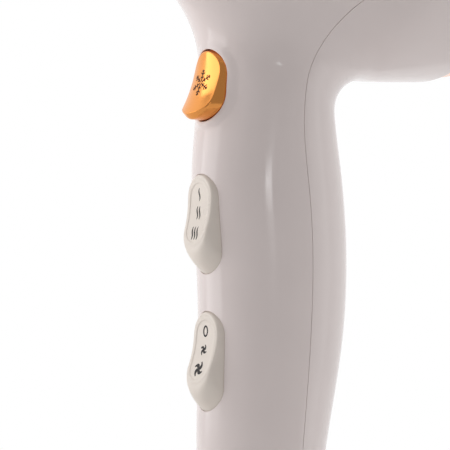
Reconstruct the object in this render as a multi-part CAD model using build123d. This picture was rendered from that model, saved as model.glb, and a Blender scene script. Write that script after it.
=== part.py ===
"""Hand-held hair dryer: slim nozzle, wide intake bell, pistol handle with two rockers and a cool-shot button.

Frame: the origin is the centre of the outlet's front face, on the barrel axis. +X points the way the
air leaves, +Z is up, and the handle hangs from the barrel, leaning 8 degrees to the rear.
Handle pieces are drawn in the handle's own frame: X is its front face's direction, -Z is down the handle.
"""
import os
from math import asin, cos, hypot, radians, sin

from build123d import *

# ---- driving dimensions, mm ----
WALL = 2.2
SEAM_GAP = 0.15
FIT = 0.3

COLLAR_R = 24.0
COLLAR_LENGTH = 12.0
SHELL_FRONT_X = -COLLAR_LENGTH
SHELL_REAR_X = -177.0
RING_REAR_X = -187.0
GRILLE_REAR_X = -197.0

HANDLE_X = -118.0
HANDLE_LEAN = 8.0
HANDLE_END = 186.0
HANDLE = Location((HANDLE_X, 0, 0), (0, HANDLE_LEAN, 0))

# barrel: (x, outer radius), from the outlet back to the trim ring
BARREL = [(-12, 25.0), (-40, 25.5), (-70, 26.2), (-95, 28.5), (-118, 35.5), (-138, 42.0), (-148, 43.5),
          (-157, 43.0), (-177, 39.9)]
# handle: (distance down, front reach, rear reach, half-width)
HANDLE_SECTIONS = [(14, 19.2, 17.8, 17.6), (30, 19.2, 17.9, 17.6), (44, 19.5, 18.0, 17.5),
                   (58, 20.4, 18.6, 17.3), (72, 22.0, 21.0, 17.0), (96, 20.8, 23.1, 17.0),
                   (120, 20.1, 21.6, 16.6), (146, 20.7, 16.7, 15.4), (170, 20.0, 13.6, 14.2),
                   (186, 19.0, 12.5, 13.5)]
# parting line: (front reach, distance down) on the handle, then (x, z) on the bell
SEAM_ON_HANDLE = [(1.0, 205), (-1.25, 146), (-3.3, 103), (-2.5, 81), (0.0, 57)]
SEAM_ON_BELL = [(-131.5, -25.6), (-147.0, -11.5), (-166.0, -4.5), (-182.0, -3.0)]
NECK_FILLET = 12.0
FLOOR = 3.0

COOL_S = 50.0
COOL_SIZE = (19.4, 13.4)
COOL_RIM = (25.8, 19.4)
COOL_RIM_HEIGHT = 0.8
COOL_TRAVEL = 2.4

HEAT_S = 87.5
SPEED_S = 124.0
ROCKER_WIDTH = 12.0
ROCKER_SWING = 20
PIVOT_DEPTH = 9.2
PIN_R = 1.25
PIN_LENGTH = 16.8
PIN_GAP = 0.05

SCREW_S = (66.0, 152.0)
SCREW_R = 1.4
SCREW_HEAD_R = 2.9

POST_R = 3.2
COVER_POST_R = 4.4
POST_MEET_T = -6.0
HEAD_SEAT_T = -11.0
SCREW_END_T = 8.0

ROCKER_CORNER = 4.2
FACE_EDGE_LENGTH = 9.0
SKIRT_ANGLE = 22.0
HEEL_ANGLE = 7.0
HUB_R = 2.8
CHEEK_IN_Y = 4.0

COOL_TOP = (-0.2, 10.0)
COOL_DISH = (0.8, 0.6)
COOL_CREST = (5.1, -6.9)
COOL_TOE = (2.7, -10.0)
COOL_HEADROOM = 12.0
COOL_FLANGE_T = 12.6
COOL_FLANGE_THICK = 1.6
COOL_FLANGE_LAP = 1.5
MICRO_T = 3.0
SPRING_S = 43.6
SPRING_R = 1.8
SPRING_POST_R = 2.8
SPRING_SEAT_T = 5.0
SPRING_TOP_T = COOL_FLANGE_T
TERMINAL_R = 0.7

CLAMP_T = -3.0
CLAMP_S = 171.0
TERMINAL_T = -9.5
TERMINAL_S = 142.6

INLET_R = 8.0
CORD_BORE_R = 4.2
INLET_TOP = 178.0
INLET_END = 190.0
INLET_T = 3.25

DUCT_R = 35.5
DUCT_IN_R = 33.8
DUCT_REAR_X = -158.0
DUCT_FRONT_X = -128.0
SLEEVE_R = 20.7
SLEEVE_IN_R = 19.2
FAN_R = 33.3
FAN_REAR_X = -156.0
FAN_FRONT_X = -142.0
FAN_BLADES = 9
RIB_REAR_X = -157.0
RIB_FRONT_X = -140.0
RING_R = 36.2
RING_IN_R = 35.5
TONGUE_R = 37.4
TONGUE_LENGTH = 4.0
GUARD_RIM_X = -187.3
SKIRT_END_X = -181.0
GRILLE_SLOT = 2.2
GRILLE_ROWS = [(29.0, 7.0, 30), (21.0, 6.6, 22), (13.0, 6.6, 14), (5.4, 5.0, 6)]
STATOR_VANES = 11

CAN_R = 17.9
CAN_REAR_X = -138.0
CAN_FRONT_X = -96.0
SHAFT_R = 1.6
BUSH_R = 4.0
BUSH_GAP = 0.03
MAGNET_R = 16.6
ARMATURE_R = 12.8
COMMUTATOR_R = 4.0

MICA_R = 22.4
MICA_REAR_X = -90.0
MICA_FRONT_X = -21.0
COIL_R = 18.7
COIL_WIRE_R = 0.45
COIL_PITCH = 4.0
MICA_SPAN = 62.0
MICA_MID_X = -56.0


# ---- shared shapes ----
def tube(outer, inner, x_rear, x_front):
    """A ring on the barrel axis between two stations."""
    length = x_front - x_rear
    ring = Cylinder(outer, length) - Cylinder(inner, length)
    return Pos((x_rear + x_front) / 2, 0, 0) * Rot(0, 90, 0) * ring


def rod(radius, x_rear, x_front, y=0, z=0):
    """A round bar along X."""
    length = x_front - x_rear
    return Pos((x_rear + x_front) / 2, y, z) * Rot(0, 90, 0) * Cylinder(radius, length)


def turned(points):
    """A body of revolution about the barrel axis, from (x, radius) points."""
    outline = Polyline(*[(x, 0, r) for x, r in points], close=True)
    return revolve(make_face(outline), Axis.X)


def around(shape, count, start=0.0):
    """Copies of a shape spaced evenly about the barrel axis."""
    return [Rot(start + 360 * i / count, 0, 0) * shape for i in range(count)]


def block(t_low, t_high, y_low, y_high, s_low, s_high):
    """A box in the handle's frame, given by its limits."""
    size = (t_high - t_low, y_high - y_low, s_high - s_low)
    centre = ((t_low + t_high) / 2, (y_low + y_high) / 2, -(s_low + s_high) / 2)
    return Pos(*centre) * Box(*size)


def front_rod(radius, t_low, t_high, s, y=0):
    """A round bar along the handle's front direction."""
    return Pos((t_low + t_high) / 2, y, -s) * Rot(0, 90, 0) * Cylinder(radius, t_high - t_low)


def oval_prism(height, width, t_low, t_high, s):
    """A stadium-shaped bar along the handle's front direction."""
    plane = Plane(origin=(t_low, 0, -s), x_dir=(0, 0, 1), z_dir=(1, 0, 0))
    return extrude(plane * SlotOverall(height, width), t_high - t_low)


def in_row_frame(t, s):
    """A point on the handle's mid-plane, as (x, z) in the part's own frame."""
    lean = radians(HANDLE_LEAN)
    return HANDLE_X + t * cos(lean) - s * sin(lean), -t * sin(lean) - s * cos(lean)


def front_reach(s):
    """How far the handle's front face stands from its axis, a distance s down."""
    for (s0, f0, _, _), (s1, f1, _, _) in zip(HANDLE_SECTIONS, HANDLE_SECTIONS[1:]):
        if s0 <= s <= s1:
            return f0 + (f1 - f0) * (s - s0) / (s1 - s0)
    return HANDLE_SECTIONS[-1][1]


# ---- the two shells ----
def barrel_solid(inset=0.0, front=SHELL_FRONT_X, rear=SHELL_REAR_X):
    """The barrel's outer form, or its inner form when inset by the wall."""
    rim = [(x, r - inset) for x, r in BARREL]
    skin = Spline([(x, 0, r) for x, r in rim])
    front_face = Line((rim[0][0], 0, rim[0][1]), (rim[0][0], 0, 0))
    axis_line = Line((rim[0][0], 0, 0), (rim[-1][0], 0, 0))
    rear_face = Line((rim[-1][0], 0, 0), (rim[-1][0], 0, rim[-1][1]))
    solid = revolve(make_face([skin, front_face, axis_line, rear_face]), Axis.X)
    if front > SHELL_FRONT_X:
        solid += rod(rim[0][1], SHELL_FRONT_X, front)
    if rear < SHELL_REAR_X:
        solid += rod(rim[-1][1], rear, SHELL_REAR_X)
    return solid


def handle_solid(inset=0.0, end=HANDLE_END):
    """The handle as a loft through ellipses, in its own frame."""
    rings = []
    for s, front, rear, half_width in HANDLE_SECTIONS:
        plane = Plane(origin=((front - rear) / 2, 0, -min(s, end)), x_dir=(1, 0, 0), z_dir=(0, 0, 1))
        rings.append(plane * Ellipse((front + rear) / 2 - inset, half_width - inset))
    return loft(rings)


def joined(barrel, handle, radius):
    """Barrel and handle as one form, with a rounded neck between them."""
    body = barrel + HANDLE * handle
    neck = [e for e in body.edges() if is_neck(e)]
    return fillet(neck, radius)


def is_neck(edge):
    """True for the closed curve where the handle enters the barrel."""
    box = edge.bounding_box()
    return box.min.Z > -70 and box.max.Z < -15 and edge.length > 90


def seam_region(shift):
    """Everything behind the parting line, as a slab across the whole width."""
    line = [in_row_frame(t, s) for t, s in SEAM_ON_HANDLE] + SEAM_ON_BELL
    points = [(x + shift[0], 0, z + shift[1]) for x, z in line]
    seam = Spline(points)
    low = points[0]
    high = points[-1]
    corner = Polyline(high, (-260, 0, high[2]), (-260, 0, low[2]), low)
    return extrude(make_face([seam, *corner.edges()]), 60, dir=(0, 1, 0), both=True)


def cool_rim():
    """The raised oval that frames the cool-shot button."""
    proud = handle_solid(-COOL_RIM_HEIGHT)
    return proud & oval_prism(*COOL_RIM, 8, 40, COOL_S)


def cover_post(s):
    """The screw post inside the front shell, reaching back to the cover's post."""
    return front_rod(POST_R, POST_MEET_T, front_reach(s) - 1.0, s)


def cover_post_rear(s):
    """The cover's own post, with its screw pocket cut by screw_pocket."""
    return front_rod(COVER_POST_R, -rear_reach(s) + 1.0, POST_MEET_T, s)


def screw_pocket(s):
    """Clearance for a cover screw: a wide pocket for the head and a narrow hole for the shank."""
    head = front_rod(SCREW_HEAD_R + FIT, -40, HEAD_SEAT_T, s)
    shank = front_rod(SCREW_R + 0.2, HEAD_SEAT_T, POST_MEET_T, s)
    return head + shank


def rear_reach(s):
    """How far the handle's rear face stands from its axis, a distance s down."""
    for (s0, _, r0, _), (s1, _, r1, _) in zip(HANDLE_SECTIONS, HANDLE_SECTIONS[1:]):
        if s0 <= s <= s1:
            return r0 + (r1 - r0) * (s - s0) / (s1 - s0)
    return HANDLE_SECTIONS[-1][2]


def shells():
    """The front shell with the whole barrel, and the handle's back cover."""
    outer = joined(barrel_solid(), handle_solid(), NECK_FILLET)
    inner = joined(barrel_solid(WALL, front=5, rear=-200), handle_solid(WALL), NECK_FILLET + WALL)
    inner -= HANDLE * block(-60, 60, -60, 60, HANDLE_END - FLOOR, 260)
    shell = outer - inner
    shell += (HANDLE * cool_rim()) - inner
    shell += [rib & (outer - rod(DUCT_R + 0.1, -170, -120)) for rib in duct_ribs()]
    main = shell - seam_region((0, 0))
    cover = shell & seam_region((-SEAM_GAP, -SEAM_GAP))
    button_hole = oval_prism(COOL_SIZE[0] + 2 * FIT, COOL_SIZE[1] + 2 * FIT, 8, 40, COOL_S)
    main -= HANDLE * button_hole
    rocker_room = rocker_block(FIT)
    for s in (HEAT_S, SPEED_S):
        for turn in range(0, ROCKER_SWING + 1, 5):
            main -= HANDLE * at_pivot(rocker_room, s, turn)
    for s in SCREW_S:
        main += HANDLE * cover_post(s)
        main -= HANDLE * front_rod(SCREW_R, POST_MEET_T, SCREW_END_T, s)
        cover += HANDLE * cover_post_rear(s)
        cover -= HANDLE * screw_pocket(s)
    inlet_hole = Pos(INLET_T, 0, -200) * Cylinder(INLET_R, 80)
    return main - HANDLE * inlet_hole, cover - HANDLE * inlet_hole


def duct_ribs():
    """Three ribs inside the bell that carry the fan duct."""
    rib = Pos((RIB_REAR_X + RIB_FRONT_X) / 2, 0, 38) * Box(RIB_FRONT_X - RIB_REAR_X, 2.0, 14)
    return [Rot(angle, 0, 0) * rib for angle in (-70, 0, 70)]


def cover_screw(s):
    """A pan-head screw from the cover's pocket into the front shell's post."""
    screw = front_rod(SCREW_HEAD_R, HEAD_SEAT_T - 2.0, HEAD_SEAT_T, s)
    screw += front_rod(SCREW_R, HEAD_SEAT_T, SCREW_END_T, s)
    drive = Pos(HEAD_SEAT_T - 2.0, 0, -s) * (Box(2.0, 3.4, 0.8) + Box(2.0, 0.8, 3.4))
    return screw - drive


# ---- rockers, drawn about their pivot ----
def polar(point, swing=0.0, grow=0.0):
    """A point swung about the pivot by an angle, positive upward, and moved out by a clearance."""
    radius = hypot(*point) + grow
    angle = asin(point[1] / hypot(*point)) + radians(swing)
    return radius * cos(angle), 0, radius * sin(angle)


def rocker_profile(grow=0.0):
    """Side view in the first position: top edge flush, lower crest proud, ends as arcs about the pivot."""
    top = (PIVOT_DEPTH + 0.6, 12.9)
    dish = (PIVOT_DEPTH + 1.1, 0, 3.5)
    crest = (PIVOT_DEPTH + 3.5, 0, -5.0)
    toe = (PIVOT_DEPTH - 0.4, -13.0)
    face_line = ThreePointArc(polar(top, 0, grow), dish, crest)
    under = Line(crest, polar(toe, 0, grow))
    toe_arc = ThreePointArc(*[polar(toe, -swing, grow) for swing in (0, HEEL_ANGLE / 2, HEEL_ANGLE)])
    hub = Polyline(polar(toe, -HEEL_ANGLE, grow), (-HUB_R, 0, -HUB_R), (-HUB_R, 0, HUB_R),
                   polar(top, SKIRT_ANGLE, grow))
    top_arc = ThreePointArc(*[polar(top, swing, grow) for swing in (SKIRT_ANGLE, SKIRT_ANGLE / 2, 0)])
    return make_face([face_line, under, toe_arc, *hub.edges(), top_arc])


def rocker_block(grow=0.0):
    """The rocker's outer form, with the corners of its ends rounded."""
    solid = extrude(rocker_profile(grow), ROCKER_WIDTH / 2 + grow, dir=(0, 1, 0), both=True)
    arcs = solid.edges().filter_by(GeomType.CIRCLE)
    return fillet([e for e in arcs if e.length < FACE_EDGE_LENGTH], ROCKER_CORNER)


def at_pivot(shape, s, angle=0.0):
    """A rocker shape at its place on the handle, turned by an angle with its lower end going in."""
    return Pos(front_reach(s) - PIVOT_DEPTH, 0, -s) * Rot(0, angle, 0) * shape


def rocker_cap():
    """A hollow rocker: a dished face, two side cheeks and a hub bored for its pivot pin."""
    pocket = Pos((PIVOT_DEPTH - 22.0) / 2, 0, 0) * Box(PIVOT_DEPTH + 18.0, 2 * CHEEK_IN_Y, 17.0)
    bore = Rot(90, 0, 0) * Cylinder(PIN_R + PIN_GAP, 30)
    return rocker_block() - pocket - bore


def rocker_pin(s):
    """A steel pivot pin across the handle."""
    return at_pivot(Rot(90, 0, 0) * Cylinder(PIN_R, PIN_LENGTH), s)


# ---- cool-shot button ----
def cool_button():
    """An oval button with a sloping dished face, and a flange that keeps it behind the wall."""
    reach = front_reach(COOL_S)
    button = oval_prism(*COOL_SIZE, COOL_FLANGE_T, reach + COOL_HEADROOM - 2, COOL_S)
    top, dish, crest, toe = [(reach + proud, 0, up - COOL_S)
                             for proud, up in (COOL_TOP, COOL_DISH, COOL_CREST, COOL_TOE)]
    clear = reach + COOL_HEADROOM
    face_line = ThreePointArc(top, dish, crest)
    rest = Polyline(crest, toe, (clear, 0, toe[2]), (clear, 0, top[2]), top)
    button -= extrude(make_face([face_line, *rest.edges()]), 20, dir=(0, 1, 0), both=True)
    height, width = [size + 2 * COOL_FLANGE_LAP for size in COOL_SIZE]
    flange = oval_prism(height, width, COOL_FLANGE_T, COOL_FLANGE_T + COOL_FLANGE_THICK, COOL_S)
    return button + flange


def cool_spring():
    """A small compression coil behind the button."""
    coil = Helix(1.7, SPRING_TOP_T - SPRING_SEAT_T - 0.6, SPRING_R)
    wire = sweep(Plane(origin=coil @ 0, z_dir=coil % 0) * Circle(0.25), coil)
    return Pos(SPRING_SEAT_T + 0.3, 0, -SPRING_S) * Rot(0, 90, 0) * wire


def cool_switch():
    """The microswitch that the button presses, with its plunger and lugs."""
    body = block(MICRO_T, MICRO_T + 6.0, -3.2, 3.2, 48.0, 59.0)
    plunger = front_rod(1.0, MICRO_T + 6.0, COOL_FLANGE_T - COOL_TRAVEL - 0.1, 52.0)
    return body + plunger


# ---- switch carrier and switches ----
def switch_carrier():
    """A plate across the front shell that holds both rockers, their switches and the microswitch."""
    plate = block(-1, 1, -30, 30, 42, 140) & handle_solid(WALL + 0.05)
    for s in (HEAT_S, SPEED_S):
        top = front_reach(s) - PIVOT_DEPTH + 2.2
        for side in (-1, 1):
            cheek = block(1, top, min(side * 6.6, side * 8.4), max(side * 6.6, side * 8.4), s - 4, s + 4)
            plate += cheek
        plate -= at_pivot(Rot(90, 0, 0) * Cylinder(PIN_R, 40), s)
    plate += block(1, MICRO_T, -4.0, 4.0, 47.0, 60.0)
    plate += front_rod(SPRING_POST_R, 1, SPRING_SEAT_T, SPRING_S)
    return plate - front_rod(POST_R + FIT, -5, 5, SCREW_S[0]) - switch_terminals()


def rocker_switch(s):
    """A slide switch body under a rocker, with a nub for the rocker's cheeks."""
    body = block(1, 6.4, -6.0, 6.0, s - 9, s + 9)
    return body + block(6.4, 7.2, -2.0, 2.0, s - 2, s + 2)


def switch_terminals():
    """Solder pins of both rocker switches, through the carrier plate."""
    pins = []
    for s in (HEAT_S, SPEED_S):
        for step in (-6, 0, 6):
            pins.append(front_rod(TERMINAL_R, -5.0, 1.0, s + step))
    return pins


# ---- cord entry ----
def cord_inlet():
    """The flanged bush that the cord enters by."""
    collar = Pos(INLET_T, 0, -(INLET_TOP + INLET_END) / 2) * Cylinder(INLET_R, INLET_END - INLET_TOP)
    flange = Pos(INLET_T, 0, -(INLET_TOP + 1.2)) * Cylinder(INLET_R + 1.6, 2.4)
    return collar + flange - Pos(INLET_T, 0, -180) * Cylinder(CORD_BORE_R, 60)


def cable_clamp():
    """A saddle across the cord's path, above the inlet."""
    bar = block(CLAMP_T, CLAMP_T + 2.4, -9.5, 9.5, CLAMP_S - 4, CLAMP_S + 4)
    saddle = block(CLAMP_T + 2.4, CLAMP_T + 4.0, -4.0, 4.0, CLAMP_S - 4, CLAMP_S + 4)
    holes = [front_rod(1.3, -30, 30, CLAMP_S, y) for y in (-6.8, 6.8)]
    return bar + saddle - holes


def clamp_screws():
    """Two screws that draw the saddle down."""
    screws = []
    for y in (-6.8, 6.8):
        head = front_rod(2.3, CLAMP_T + 2.4, CLAMP_T + 4.0, CLAMP_S, y)
        screws.append(head + front_rod(1.3, CLAMP_T - 4.0, CLAMP_T + 2.4, CLAMP_S, y))
    return screws


def terminal_block():
    """A two-way block where the cord's conductors meet the wiring."""
    body = block(TERMINAL_T, TERMINAL_T + 7.5, -8, 8, TERMINAL_S - 4.4, TERMINAL_S + 4.4)
    wells = [front_rod(2.0, TERMINAL_T + 3.5, TERMINAL_T + 9, TERMINAL_S, y) for y in (-4, 4)]
    return body - wells


# ---- outlet, ring and grille ----
def outlet_collar():
    """The nozzle's end ring, which a nozzle attachment clips over."""
    outline = [(-20, 21.4), (-20, 22.7), (-12, 22.7), (-12, COLLAR_R), (0, COLLAR_R), (0, 22.2),
               (-0.8, 21.4)]
    return turned(outline)


def outlet_grille():
    """A thin guard of rings and spokes just inside the outlet."""
    rings = [tube(r + 0.6, r - 0.6, -3.6, -2.0) for r in (5.5, 10.5, 15.5)]
    rim = tube(21.4, 20.2, -4.4, -1.6)
    spoke = Pos(-2.8, 0, 10.4) * Box(1.6, 1.2, 20.0)
    hub = rod(2.4, -4.0, -1.6)
    return Part() + [rim, hub, *rings, *around(spoke, 6)]


def rear_trim_ring():
    """The plated ring at the intake, rounded on its outer edge, with a tongue inside the bell."""
    front_r = BARREL[-1][1]
    tongue_x = SHELL_REAR_X + TONGUE_LENGTH
    lip = Spline([(SHELL_REAR_X, 0, front_r), (-182.5, 0, 38.75), (-186.2, 0, 37.3),
                  (RING_REAR_X, 0, RING_R)])
    back = Polyline((RING_REAR_X, 0, RING_R), (RING_REAR_X, 0, RING_IN_R), (tongue_x, 0, RING_IN_R),
                    (tongue_x, 0, TONGUE_R), (SHELL_REAR_X, 0, TONGUE_R), (SHELL_REAR_X, 0, front_r))
    return revolve(make_face([lip, *back.edges()]), Axis.X)


def rear_grille():
    """The domed intake guard, a shell with rows of slots and a skirt inside the ring."""
    outer = Spline([(GUARD_RIM_X, 0, RING_R), (-190.6, 0, 33.6), (-194.4, 0, 24.0), (GRILLE_REAR_X, 0, 0)],
                   tangents=[(-1, 0, -0.25), (0, 0, -1)])
    inner = [(GRILLE_REAR_X, 0), (GRILLE_REAR_X + 2.0, 0), (-192.4, 23.2), (-189.0, 31.6),
             (GUARD_RIM_X, 33.4), (SKIRT_END_X, 33.4), (SKIRT_END_X, 35.2), (GUARD_RIM_X, 35.2),
             (GUARD_RIM_X, RING_R)]
    cap = Polyline(*[(x, 0, r) for x, r in inner])
    guard = revolve(make_face([outer, *cap.edges()]), Axis.X)
    slots = []
    for radius, length, count in GRILLE_ROWS:
        plane = Plane(origin=(GRILLE_REAR_X - 3, 0, radius), x_dir=(0, 0, 1), z_dir=(1, 0, 0))
        slot = extrude(plane * SlotOverall(length, GRILLE_SLOT), 12)
        slots += around(slot, count)
    return guard - slots


def intake_mesh():
    """The lint screen behind the guard: a rim and a fine cross weave, kept as a thin perforated disc."""
    disc = rod(33.0, -184.0, -183.4)
    hole = Pos(-184, 0, 0) * Rot(0, 90, 0) * Cylinder(2.6, 6)
    holes = [Pos(0, y, z) * hole for y in range(-24, 25, 8) for z in range(-24, 25, 8) if hypot(y, z) < 28]
    return disc - holes


# ---- fan and motor ----
def fan_duct():
    """The duct round the fan, with its stator vanes and the sleeve that holds the motor."""
    duct = tube(DUCT_R, DUCT_IN_R, DUCT_REAR_X, DUCT_FRONT_X)
    sleeve = tube(SLEEVE_R, SLEEVE_IN_R, -139.0, -110.0)
    vane = Pos(-134, 0, 27.2) * Rot(0, 0, 18) * Box(10, 1.2, 14.4)
    vanes = around(vane & tube(DUCT_IN_R + 0.5, SLEEVE_R - 0.5, -140, -128), STATOR_VANES)
    return Part() + [duct, sleeve, *vanes]


def fan():
    """The impeller: a domed hub and pitched blades."""
    hub = turned([(FAN_REAR_X, SHAFT_R), (FAN_REAR_X, 9.0), (-153.0, 14.5), (-148.0, 18.2),
                  (FAN_FRONT_X, 19.0), (FAN_FRONT_X, 17.0), (-148.0, 15.5), (-150.5, 4.5),
                  (FAN_FRONT_X, 4.5), (FAN_FRONT_X, SHAFT_R)])
    blade = Pos(-149, 0, 24.5) * Rot(0, 0, -38) * Box(15, 1.3, 22)
    core = turned([(-157, 0), (-157, 11), (-153.0, 14.2), (-148.0, 17.9), (-142, 18.5), (-142, 0)])
    sweep_room = tube(FAN_R, 12.0, -154.5, -143.0) - core
    blades = around(blade & sweep_room, FAN_BLADES, 7)
    return Part() + [hub, *blades]


def motor_can():
    """The motor's steel cup with its front bush seat."""
    outline = [(CAN_REAR_X, CAN_R - 1.2), (CAN_REAR_X, CAN_R), (CAN_FRONT_X, CAN_R), (CAN_FRONT_X, BUSH_R),
               (CAN_FRONT_X - 3.0, BUSH_R), (CAN_FRONT_X - 3.0, 6.0), (CAN_FRONT_X - 1.2, 6.0),
               (CAN_FRONT_X - 1.2, CAN_R - 1.2)]
    vents = around(Pos(CAN_FRONT_X, 0, 11.5) * Rot(0, 90, 0) * Cylinder(2.4, 8), 6)
    return turned(outline) - vents


def motor_end_cap():
    """The moulded cap that closes the motor's rear and carries the brushes."""
    plate = tube(CAN_R, BUSH_R, CAN_REAR_X - 2.6, CAN_REAR_X)
    spigot = tube(CAN_R - 1.2, 14.0, CAN_REAR_X, CAN_REAR_X + 3.0)
    vents = around(Pos(CAN_REAR_X, 0, 10.5) * Rot(0, 90, 0) * Cylinder(2.0, 14), 4, 45)
    return plate + spigot - vents


def motor_magnets():
    """Two curved magnets inside the can."""
    shell = tube(MAGNET_R, MAGNET_R - 3.2, -130.0, -104.0)
    window = Pos(-117, 0, 0) * Box(40, 20, 60)
    halves = shell & window
    return halves.solids()


def armature():
    """The wound rotor: a slotted stack, its end turns and the commutator."""
    stack = rod(ARMATURE_R, -127.0, -107.0)
    slot = Pos(-117, 0, ARMATURE_R) * Box(22, 1.6, 8.0)
    stack -= around(slot, 7)
    turns = tube(10.6, SHAFT_R, -130.6, -127.0) + tube(10.6, SHAFT_R, -107.0, -103.4)
    commutator = tube(COMMUTATOR_R, SHAFT_R, -135.6, -130.6)
    return stack + turns + commutator - rod(SHAFT_R, -160, -90)


def brushes():
    """Two carbon brushes, one each side of the commutator."""
    made = []
    for side in (-1, 1):
        y = side * (COMMUTATOR_R + FIT + 3.0)
        made.append(Pos(-133.2, y, 0) * Box(3.0, 6.0, 2.6))
    return made


def rectifier_board():
    """The round board in front of the motor, on two posts."""
    board = rod(15.5, -92.6, -91.2)
    posts = [rod(1.0, CAN_FRONT_X, -92.6, 8.5, -8.5), rod(1.0, CAN_FRONT_X, -92.6, -8.5, 8.5)]
    return board - rod(3.0, -100, -80) + posts


def diodes():
    """Four diodes standing on the board."""
    return around(rod(1.4, -91.2, -88.6, 0, 10.0), 4, 45)


# ---- heater ----
def mica_boards():
    """Two crossed boards that carry the coil, wide at the ends and notched for each other."""
    plates = []
    for angle in (0, 90):
        core = Box(MICA_SPAN, 0.6, 2 * (COIL_R - COIL_WIRE_R - 0.35))
        ends = [Pos(side * (MICA_SPAN / 2 - 2.0), 0, 0) * Box(4.0, 0.6, 2 * 21.8) for side in (-1, 1)]
        plates.append(Rot(angle, 0, 0) * (core + ends))
    return Pos(MICA_MID_X, 0, 0) * (plates[0] + plates[1])


def heating_coil():
    """The resistance wire, wound round the boards' edges."""
    height = MICA_SPAN - 12.0
    path = Helix(COIL_PITCH, height, COIL_R)
    wire = sweep(Plane(origin=path @ 0, z_dir=path % 0) * Circle(COIL_WIRE_R), path)
    return Pos(MICA_MID_X - height / 2, 0, 0) * Rot(0, 90, 0) * wire


def thermostat():
    """The bimetal cut-out on one board."""
    return Pos(-40, 2.6, 7.0) * Box(14, 4.6, 6.0) + Pos(-40, 5.3, 7.0) * Box(12, 0.8, 3.0)


def thermal_fuse():
    """The one-shot fuse on the other side of the boards."""
    return rod(1.5, -48, -36, -2.0, -7.0) + rod(0.4, -54, -30, -2.0, -7.0)


# ---- everything, by node name ----
def build():
    """Make every node and write each to its own file."""
    main, cover = shells()
    nodes = {
        "main_shell": main,
        "handle_back_cover": cover,
        "cover_screws": on_handle([cover_screw(s) for s in SCREW_S]),
        "outlet_collar": outlet_collar(),
        "outlet_grille": outlet_grille(),
        "rear_trim_ring": rear_trim_ring(),
        "rear_grille": rear_grille(),
        "intake_mesh": intake_mesh(),
        "cord_inlet_collar": HANDLE * cord_inlet(),
        "cable_clamp": HANDLE * cable_clamp(),
        "clamp_screws": on_handle(clamp_screws()),
        "terminal_block": HANDLE * terminal_block(),
        "switch_carrier": HANDLE * switch_carrier(),
        "heat_switch_body": HANDLE * rocker_switch(HEAT_S),
        "speed_switch_body": HANDLE * rocker_switch(SPEED_S),
        "switch_terminals": on_handle(switch_terminals()),
        "heat_rocker_cap": HANDLE * at_pivot(rocker_cap(), HEAT_S),
        "speed_rocker_cap": HANDLE * at_pivot(rocker_cap(), SPEED_S),
        "rocker_pins": on_handle([rocker_pin(s) for s in (HEAT_S, SPEED_S)]),
        "cool_shot_button": HANDLE * cool_button(),
        "cool_shot_spring": HANDLE * cool_spring(),
        "cool_shot_microswitch": HANDLE * cool_switch(),
        "fan_duct": fan_duct(),
        "fan": fan(),
        "motor_can": motor_can(),
        "motor_end_cap": motor_end_cap(),
        "motor_magnets": Compound(children=motor_magnets()),
        "armature": armature(),
        "motor_shaft": rod(SHAFT_R, -157.0, -93.6),
        "front_bush": tube(BUSH_R, SHAFT_R + BUSH_GAP, CAN_FRONT_X - 3.0, CAN_FRONT_X),
        "rear_bush": tube(BUSH_R, SHAFT_R + BUSH_GAP, CAN_REAR_X - 2.6, CAN_REAR_X),
        "carbon_brushes": Compound(children=brushes()),
        "damper_rings": Compound(children=[tube(SLEEVE_IN_R, CAN_R, x - 4.0, x) for x in (-132.0, -112.0)]),
        "rectifier_board": rectifier_board(),
        "rectifier_diodes": Compound(children=diodes()),
        "mica_tube": tube(MICA_R, MICA_R - 0.5, MICA_REAR_X, MICA_FRONT_X),
        "mica_boards": mica_boards(),
        "heating_coil": heating_coil(),
        "thermostat": thermostat(),
        "thermal_fuse": thermal_fuse(),
    }
    os.makedirs("parts", exist_ok=True)
    for name, shape in nodes.items():
        export_step(shape, f"parts/{name}.step")


def on_handle(shapes):
    """Several separate solids of one node, moved from the handle's frame to the part's own."""
    return Compound(children=[HANDLE * shape for shape in shapes])


build()
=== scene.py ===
"""The hair dryer's looks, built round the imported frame. Lengths are in millimetres until a mesh is made."""
from math import cos, pi, radians, sin, sqrt

import bmesh
import bpy
import numpy as np
from mathutils import Matrix, Vector


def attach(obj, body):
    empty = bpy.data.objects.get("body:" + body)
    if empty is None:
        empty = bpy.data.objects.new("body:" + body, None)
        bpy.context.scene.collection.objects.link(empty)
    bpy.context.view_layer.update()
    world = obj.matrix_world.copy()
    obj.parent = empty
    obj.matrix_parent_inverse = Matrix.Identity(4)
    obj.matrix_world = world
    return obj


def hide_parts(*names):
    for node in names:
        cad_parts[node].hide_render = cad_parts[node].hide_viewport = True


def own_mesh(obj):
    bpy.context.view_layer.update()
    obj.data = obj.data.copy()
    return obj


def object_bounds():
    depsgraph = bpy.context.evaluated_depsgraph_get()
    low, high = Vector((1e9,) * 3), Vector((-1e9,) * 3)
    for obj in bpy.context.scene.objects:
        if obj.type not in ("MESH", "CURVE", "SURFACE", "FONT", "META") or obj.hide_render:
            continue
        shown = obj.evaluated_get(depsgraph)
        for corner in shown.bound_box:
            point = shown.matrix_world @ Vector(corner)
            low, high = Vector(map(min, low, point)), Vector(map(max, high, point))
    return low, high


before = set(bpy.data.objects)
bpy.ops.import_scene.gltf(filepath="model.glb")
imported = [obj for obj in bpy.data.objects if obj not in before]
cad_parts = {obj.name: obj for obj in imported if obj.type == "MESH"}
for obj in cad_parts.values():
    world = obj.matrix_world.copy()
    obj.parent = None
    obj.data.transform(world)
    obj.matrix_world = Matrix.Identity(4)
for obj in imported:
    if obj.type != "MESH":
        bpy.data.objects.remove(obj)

CAD_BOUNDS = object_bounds()
MM = 0.001

# ---- the housing's driving dimensions, as in the CAD model ----
HANDLE_X = -118.0
LEAN = radians(8.0)
FRONT_X = -12.0
REAR_X = -177.0
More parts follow.
